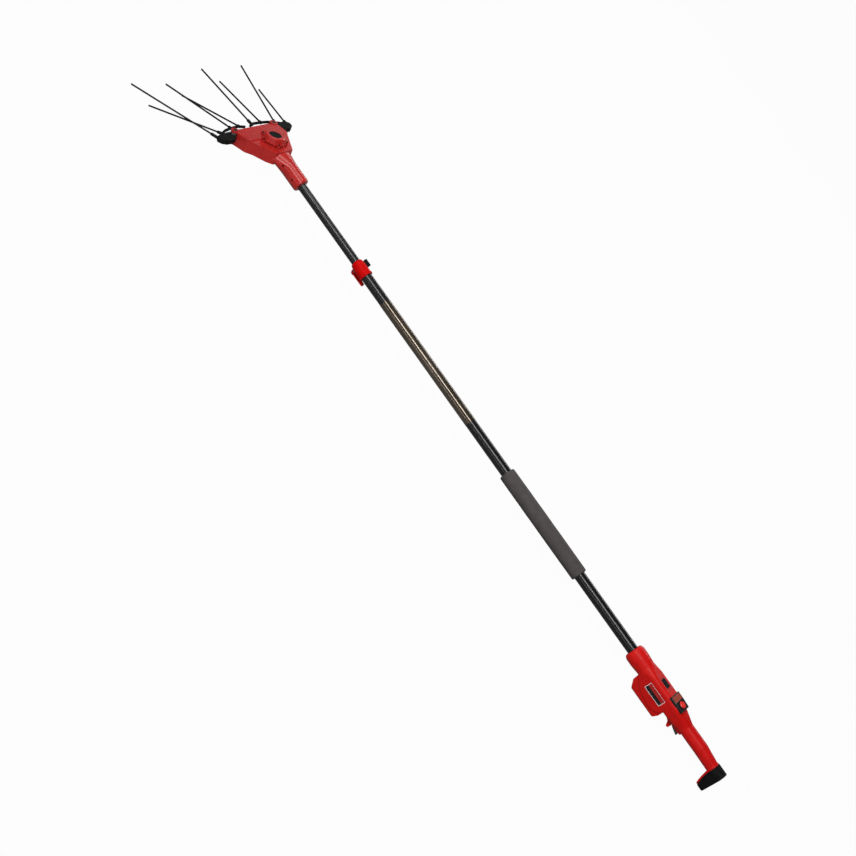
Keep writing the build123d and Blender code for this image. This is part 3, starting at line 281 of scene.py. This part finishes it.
# finishes: colour drifts a little, gloss drifts a little, fine grain in the bump
finishes = {
    "handleRed": {
        "dark": (0.560, 0.0050, 0.0040), "light": (0.640, 0.0075, 0.0056), "rough": (0.38, 0.48),
        "specular": 0.16, "driftScale": 45.0, "grainScale": 2600.0, "grain": 0.08, "grainDepth": 0.00008,
    },
    "headRed": {
        "dark": (0.350, 0.0130, 0.0110), "light": (0.420, 0.0180, 0.0150), "rough": (0.24, 0.31),
        "specular": 0.30, "driftScale": 55.0, "grainScale": 2600.0, "grain": 0.06, "grainDepth": 0.00006,
    },
    "clampRed": {
        "dark": (0.450, 0.0022, 0.0022), "light": (0.520, 0.0032, 0.0030), "rough": (0.36, 0.46),
        "specular": 0.03, "driftScale": 70.0, "grainScale": 2600.0, "grain": 0.06, "grainDepth": 0.00006,
    },
    "mouldedBlack": {
        "dark": (0.0058, 0.0055, 0.0053), "light": (0.0108, 0.0102, 0.0099), "rough": (0.50, 0.62),
        "specular": 0.06, "driftScale": 80.0, "grainScale": 2200.0, "grain": 0.12, "grainDepth": 0.0001,
    },
    "triggerGrey": {
        "dark": (0.046, 0.050, 0.048), "light": (0.066, 0.071, 0.069), "rough": (0.45, 0.55),
        "specular": 0.30, "driftScale": 120.0, "grainScale": 2000.0, "grain": 0.12, "grainDepth": 0.0001,
    },
    "tubeBlack": {
        "dark": (0.0026, 0.0026, 0.0027), "light": (0.0044, 0.0043, 0.0043), "rough": (0.24, 0.30),
        "specular": 0.42, "driftScale": 14.0, "grainScale": 700.0, "grain": 0.03, "grainDepth": 0.00003,
        "stretch": (0.15, 1.0, 1.0), "grainStretch": (0.02, 1.0, 1.0),
    },
    "bronzeFilm": {
        "dark": (0.085, 0.069, 0.052), "light": (0.130, 0.108, 0.084), "rough": (0.17, 0.23), "metal": 0.8,
        "specular": 0.4, "driftScale": 22.0, "grainScale": 160.0, "grain": 0.02, "grainDepth": 0.0001,
        "stretch": (0.3, 1.0, 1.0),
    },
    "fibreBlack": {
        "dark": (0.0032, 0.0032, 0.0032), "light": (0.0062, 0.0061, 0.0060), "rough": (0.36, 0.48),
        "specular": 0.15, "driftScale": 60.0, "grainScale": 3000.0, "grain": 0.08, "grainDepth": 0.00005,
        "stretch": (0.2, 1.0, 1.0), "grainStretch": (0.05, 1.0, 1.0),
    },
    "turnedSteel": {
        "dark": (0.42, 0.42, 0.43), "light": (0.56, 0.56, 0.57), "rough": (0.28, 0.40), "metal": 1.0,
        "driftScale": 90.0, "grainScale": 1800.0, "grain": 0.15, "grainDepth": 0.00008,
    },
    "blackenedSteel": {
        "dark": (0.020, 0.020, 0.022), "light": (0.034, 0.034, 0.036), "rough": (0.35, 0.46), "metal": 0.6,
        "driftScale": 140.0, "grainScale": 2400.0, "grain": 0.15, "grainDepth": 0.00008,
    },
    "castAlloy": {
        "dark": (0.20, 0.20, 0.205), "light": (0.28, 0.28, 0.285), "rough": (0.45, 0.58), "metal": 1.0,
        "driftScale": 120.0, "grainScale": 1500.0, "grain": 0.2, "grainDepth": 0.0001,
    },
    "bushNylon": {
        "dark": (0.62, 0.60, 0.55), "light": (0.70, 0.68, 0.63), "rough": (0.40, 0.50),
        "driftScale": 90.0, "grainScale": 1800.0, "grain": 0.15, "grainDepth": 0.0001,
    },
    "leadSheath": {
        "dark": (0.012, 0.012, 0.012), "light": (0.020, 0.020, 0.020), "rough": (0.45, 0.55),
        "driftScale": 90.0, "grainScale": 1500.0, "grain": 0.2, "grainDepth": 0.0001,
    },
    "boardGreen": {
        "dark": (0.010, 0.085, 0.030), "light": (0.016, 0.120, 0.045), "rough": (0.30, 0.42),
        "driftScale": 160.0, "grainScale": 900.0, "grain": 0.2, "grainDepth": 0.0001,
    },
    "lensRed": {
        "dark": (0.72, 0.014, 0.008), "light": (0.86, 0.022, 0.012), "rough": (0.24, 0.32),
        "specular": 0.30, "driftScale": 150.0, "grainScale": 900.0, "grain": 0.05, "grainDepth": 0.0001,
    },
}


def plainFinish(name, look):
    mat, tree, shader, spot = newFinish(name)
    drift = cloud(tree, spot, look["driftScale"], detail=4.0, stretch=look.get("stretch"))
    tree.links.new(ramp(tree, drift, look["dark"], look["light"]), shader.inputs["Base Color"])
    tree.links.new(span(tree, drift, *look["rough"]), shader.inputs["Roughness"])
    shader.inputs["Metallic"].default_value = look.get("metal", 0.0)
    shader.inputs["Specular IOR Level"].default_value = look.get("specular", 0.5)
    grain = cloud(tree, spot, look["grainScale"], detail=2.0, stretch=look.get("grainStretch"))
    roughen(tree, shader, grain, look)
    return mat


made = {name: plainFinish(name, look) for name, look in finishes.items()}


# label foil: white edge, red field and a dark strip along its lower side, no print
label = {
    "white": (0.90, 0.89, 0.88), "red": (0.44, 0.016, 0.016), "dark": (0.014, 0.013, 0.013),
    "edge": 0.0014, "strip": 0.50, "rough": (0.28, 0.36), "specular": 0.25, "driftScale": 300.0,
    "grainScale": 900.0, "grain": 0.06, "grainDepth": 0.00008,
}


def labelFoil():
    low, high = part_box("name_plate")
    mat, tree, shader, spot = newFinish("labelFoil")
    edge = label["edge"]
    inside = insideBox(tree, spot, {"X": (low.x + edge, high.x - edge), "Z": (low.z + edge, high.z - edge)})
    strip = insideBox(tree, spot, {"Z": (low.z, low.z + (high.z - low.z) * label["strip"])})
    field = layer(tree, strip, label["red"], label["dark"])
    tree.links.new(layer(tree, inside, label["white"], field), shader.inputs["Base Color"])
    drift = cloud(tree, spot, label["driftScale"])
    tree.links.new(span(tree, drift, *label["rough"]), shader.inputs["Roughness"])
    shader.inputs["Specular IOR Level"].default_value = label["specular"]
    roughen(tree, shader, cloud(tree, spot, label["grainScale"]), label)
    return mat


# switch surround: black frame with a red-brown plate ahead of the rocker
surround = {
    "plate": (0.30, 0.034, 0.012), "black": (0.012, 0.012, 0.0125), "frontRim": 0.0026, "length": 0.017,
    "sideRim": 0.0025, "deep": 0.0006, "topRim": 0.0002, "rough": (0.32, 0.44), "specular": 0.2,
    "driftScale": 200.0, "grainScale": 2200.0, "grain": 0.25, "grainDepth": 0.0001,
}


def surroundFinish():
    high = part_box("switch_bezel")[1]
    mat, tree, shader, spot = newFinish("switchSurround")
    front = high.x - surround["frontRim"]
    side = high.y - surround["sideRim"]
    fac = insideBox(tree, spot, {
        "X": (front - surround["length"], front),
        "Y": (-side, side),
        "Z": (high.z - surround["deep"], high.z - surround["topRim"]),
    })
    tree.links.new(layer(tree, fac, surround["black"], surround["plate"]), shader.inputs["Base Color"])
    drift = cloud(tree, spot, surround["driftScale"])
    tree.links.new(span(tree, drift, *surround["rough"]), shader.inputs["Roughness"])
    shader.inputs["Specular IOR Level"].default_value = surround["specular"]
    roughen(tree, shader, cloud(tree, spot, surround["grainScale"]), surround)
    return mat


# display panel: red surround with the dark window in it
panel = {
    "red": (0.480, 0.0075, 0.0060), "glass": (0.005, 0.006, 0.011), "endRim": 0.012, "sideRim": 0.003,
    "redRough": 0.40, "glassRough": 0.22, "specular": 0.18,
    "grainScale": 2600.0, "grain": 0.12, "grainDepth": 0.0001,
}


def panelFinish():
    low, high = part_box("display_window")
    mat, tree, shader, spot = newFinish("displayPanel")
    endRim, sideRim = panel["endRim"], panel["sideRim"]
    fac = insideBox(tree, spot, {
        "X": (low.x + endRim, high.x - endRim),
        "Y": (low.y + sideRim, high.y - sideRim),
    })
    tree.links.new(layer(tree, fac, panel["red"], panel["glass"]), shader.inputs["Base Color"])
    gloss = span(tree, fac, panel["redRough"], panel["glassRough"], 0.0, 1.0)
    tree.links.new(gloss, shader.inputs["Roughness"])
    shader.inputs["Specular IOR Level"].default_value = panel["specular"]
    roughen(tree, shader, cloud(tree, spot, panel["grainScale"]), panel)
    return mat


made["labelFoil"] = labelFoil()
made["switchSurround"] = surroundFinish()
made["displayPanel"] = panelFinish()


# which finish goes on which solid
dress = {
    "handleRed": ["handle_left", "handle_right"],
    "headRed": ["head_upper_case", "head_lower_case", "motor_cover"],
    "clampRed": ["clamp_collar", "clamp_lever"],
    "mouldedBlack": ["motor_cap", "left_comb", "right_comb", "end_cap", "inlet_socket", "switch_rocker",
                     "microswitch", "thumb_nut"],
    "triggerGrey": ["trigger"],
    "tubeBlack": ["outer_tube", "inner_tube"],
    "bronzeFilm": ["tube_band"],
    "fibreBlack": ["tine_%d" % k for k in range(1, 9)],
    "turnedSteel": ["clamp_bolt", "clamp_pin", "motor_can", "motor_rotor", "crank_axle", "crank_gear",
                    "trigger_pin", "trigger_spring"],
    "blackenedSteel": ["cover_screw_%d" % k for k in range(1, 6)] + [
        "neck_screw_1", "neck_screw_2", "handle_screw_1", "handle_screw_2", "left_pivot_screw",
        "right_pivot_screw"],
    "castAlloy": ["yoke", "left_rocker", "right_rocker"],
    "bushNylon": ["slide_bush", "crank_roller"],
    "leadSheath": ["upper_lead", "supply_lead"],
    "boardGreen": ["control_board"],
    "lensRed": ["switch_lens"],
    "labelFoil": ["name_plate"],
    "switchSurround": ["switch_bezel"],
    "displayPanel": ["display_window"],
}
for finish, members in dress.items():
    for name in members:
        mesh = nodes[name].data
        mesh.materials.clear()
        mesh.materials.append(made[finish])
print("finishes on", sum(len(members) for members in dress.values()), "solids")


# small helpers for pieces made of rings
def bridge(bm, rings):
    for a, b in zip(rings, rings[1:]):
        for j in range(len(a)):
            k = (j + 1) % len(a)
            bm.faces.new((a[j], b[j], b[k], a[k]))


def finishPiece(name, bm, mat):
    bmesh.ops.recalc_face_normals(bm, faces=bm.faces)
    mesh = bpy.data.meshes.new(name)
    bm.to_mesh(mesh)
    bm.free()
    for face in mesh.polygons:
        face.use_smooth = len(face.vertices) == 4  # end caps stay flat
    mesh.materials.append(mat)
    return addObject(name, mesh)


# foam sleeve for the front hand
foam = {
    "rings": 180, "sides": 64, "round": 0.0035, "swell": 0.00035, "inset": 0.0004, "tubeGap": 0.0001,
    "wave": 0.00022, "waveAlong": 26.0, "waveAround": 1.3,
    "dark": (0.056, 0.0495, 0.0490), "light": (0.076, 0.0675, 0.0670), "rough": (0.74, 0.88),
    "specular": 0.2, "driftScale": 60.0, "cellScale": 900.0, "grain": 0.35, "grainDepth": 0.0003,
}


def foamFinish():
    mat, tree, shader, spot = newFinish("foamSkin")
    drift = cloud(tree, spot, foam["driftScale"], detail=5.0)
    tree.links.new(ramp(tree, drift, foam["dark"], foam["light"]), shader.inputs["Base Color"])
    tree.links.new(span(tree, drift, *foam["rough"]), shader.inputs["Roughness"])
    shader.inputs["Specular IOR Level"].default_value = foam["specular"]
    cells = tree.nodes.new("ShaderNodeTexVoronoi")
    cells.inputs["Scale"].default_value = foam["cellScale"]
    tree.links.new(spot.outputs["Object"], cells.inputs["Vector"])
    roughen(tree, shader, cells.outputs["Distance"], foam)
    return mat


def foamSleeve():
    low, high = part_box("foam_grip")
    tubeLow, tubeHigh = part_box("outer_tube")
    outer = (high.y - low.y) / 2
    inner = (tubeHigh.y - tubeLow.y) / 2 + foam["tubeGap"]
    length = high.x - low.x
    turns = [2 * math.pi * j / foam["sides"] for j in range(foam["sides"])]
    bm = bmesh.new()
    rings = []
    for i in range(foam["rings"] + 1):
        t = i / foam["rings"]
        x = low.x + t * length
        short = max(0.0, foam["round"] - min(t, 1 - t) * length)  # how far into the rounded end
        soft = foam["round"] - math.sqrt(max(0.0, foam["round"] ** 2 - short ** 2))
        r = outer - soft - foam["inset"] + foam["swell"] * math.sin(math.pi * t)
        ring = []
        for a in turns:
            c, s = math.cos(a), math.sin(a)
            around = foam["waveAround"]
            lump = noise.noise(Vector((x * foam["waveAlong"], c * around, s * around))) * foam["wave"]
            ring.append(bm.verts.new((x, c * (r + lump), s * (r + lump))))
        rings.append(ring)
    for x in (high.x, low.x):
        rings.append([bm.verts.new((x, math.cos(a) * inner, math.sin(a) * inner)) for a in turns])
    bridge(bm, rings + rings[:1])
    sleeve = finishPiece("foamSleeve", bm, foamFinish())
    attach(sleeve, "lower_assembly")
    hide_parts("foam_grip")


foamSleeve()
print("foam sleeve fitted")


# wound spring behind the trigger, built in place of the CAD spring and carried with the lower assembly
spring = {
    "turns": 5.5, "closedTurns": 0.8, "wire": 0.0009, "seatZ": -0.006, "keep": 0.87,
    "stepsPerTurn": 28, "sides": 10,
}


def triggerCoil():
    low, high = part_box("trigger_spring")
    middle = (low + high) / 2
    wire, turns, closed = spring["wire"], spring["turns"], spring["closedTurns"]
    thick = wire / 2
    winding = (high.y - low.y) / 2 - thick
    bottom, top = low.z + thick, high.z - thick
    freeTurns = turns - 2 * closed
    climb = (top - bottom - 2 * closed * wire) / freeTurns
    count = int(turns * spring["stepsPerTurn"])
    bm = bmesh.new()
    rings = []
    for i in range(count + 1):
        t = turns * i / count
        touching = min(t, closed) + max(0.0, t - (turns - closed))  # turns wound close, at both ends
        free = min(max(t - closed, 0.0), freeTurns)
        z = bottom + touching * wire + free * climb
        outward = Vector((math.cos(2 * math.pi * t), math.sin(2 * math.pi * t), 0.0))
        core = Vector((middle.x, middle.y, z)) + outward * winding
        ring = []
        for j in range(spring["sides"]):
            a = 2 * math.pi * j / spring["sides"]
            rise = Vector((0, 0, thick * math.sin(a)))
            ring.append(bm.verts.new(core + outward * (thick * math.cos(a)) + rise))
        rings.append(ring)
    bridge(bm, rings)
    bm.faces.new(rings[0])
    bm.faces.new(rings[-1])
    coil = finishPiece("triggerCoil", bm, made["turnedSteel"])
    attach(coil, "lower_assembly")
    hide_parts("trigger_spring")
    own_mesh(coil)


triggerCoil()
print("trigger spring wound")

print("done")
